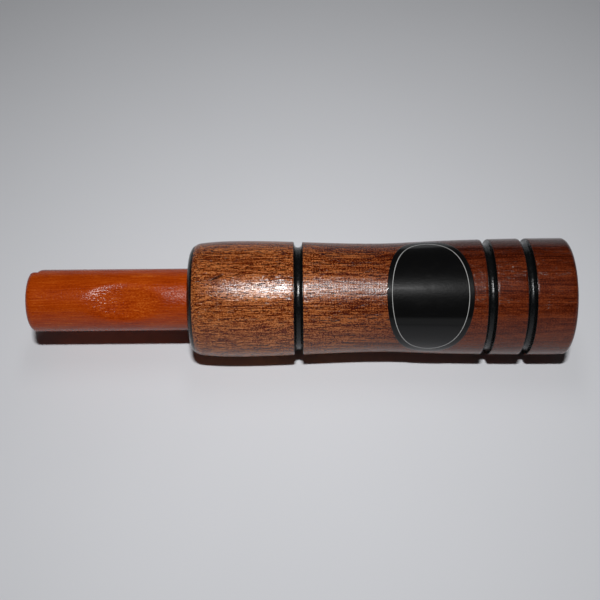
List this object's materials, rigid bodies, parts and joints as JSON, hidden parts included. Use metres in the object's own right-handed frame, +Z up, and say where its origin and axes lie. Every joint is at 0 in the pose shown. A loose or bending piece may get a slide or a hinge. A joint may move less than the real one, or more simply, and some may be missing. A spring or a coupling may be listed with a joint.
{
  "type": "bird call",
  "caption": "Turned walnut crow call with a waisted barrel, painted grooves, an oval label and a split dowel mouthpiece that clamps a flat reed.",
  "frame": {"origin": "under the middle of the length, on the surface that the call lies on in the picture", "axes": "+X along the barrel towards the bell, the mouthpiece points to -X; +Z up; the picture looks from -Y and above"},
  "size_m": [0.1368, 0.03, 0.0299],
  "materials": {
    "walnut": "satin lacquer over open-pored walnut",
    "stained_dowel": "orange-brown stain, satin lacquer",
    "black_paint": "gloss black paint film",
    "black_foil": "satin black foil",
    "reed_film": "frosted plastic film"
  },
  "bodies": {
    "barrel_body": {"barrel": "walnut", "groove_paint": "black_paint", "rim_paint": "black_paint", "label": "black_foil"},
    "mouthpiece_body": {"tone_board": "stained_dowel"},
    "cover_body": {"reed_cover": "stained_dowel"},
    "reed_body": {"reed": "reed_film"}
  },
  "joints": [
    {"name": "mouthpiece_pull", "type": "slide", "parent": "barrel_body", "child": "mouthpiece_body", "axis": [-1, 0, 0], "range_m": [0, 0.032]},
    {"name": "cover_slide", "type": "slide", "parent": "mouthpiece_body", "child": "cover_body", "axis": [-1, 0, 0], "range_m": [0, 0.032]},
    {"name": "reed_flex", "type": "hinge", "parent": "mouthpiece_body", "child": "reed_body", "pos_m": [-0.0235, 0.00016, 0.01489], "axis": [0, 0.454, 0.891], "range_deg": [-1, 2.3], "stiffness_Nm_per_rad": 0.012, "deforming": ["reed"]}
  ]
}
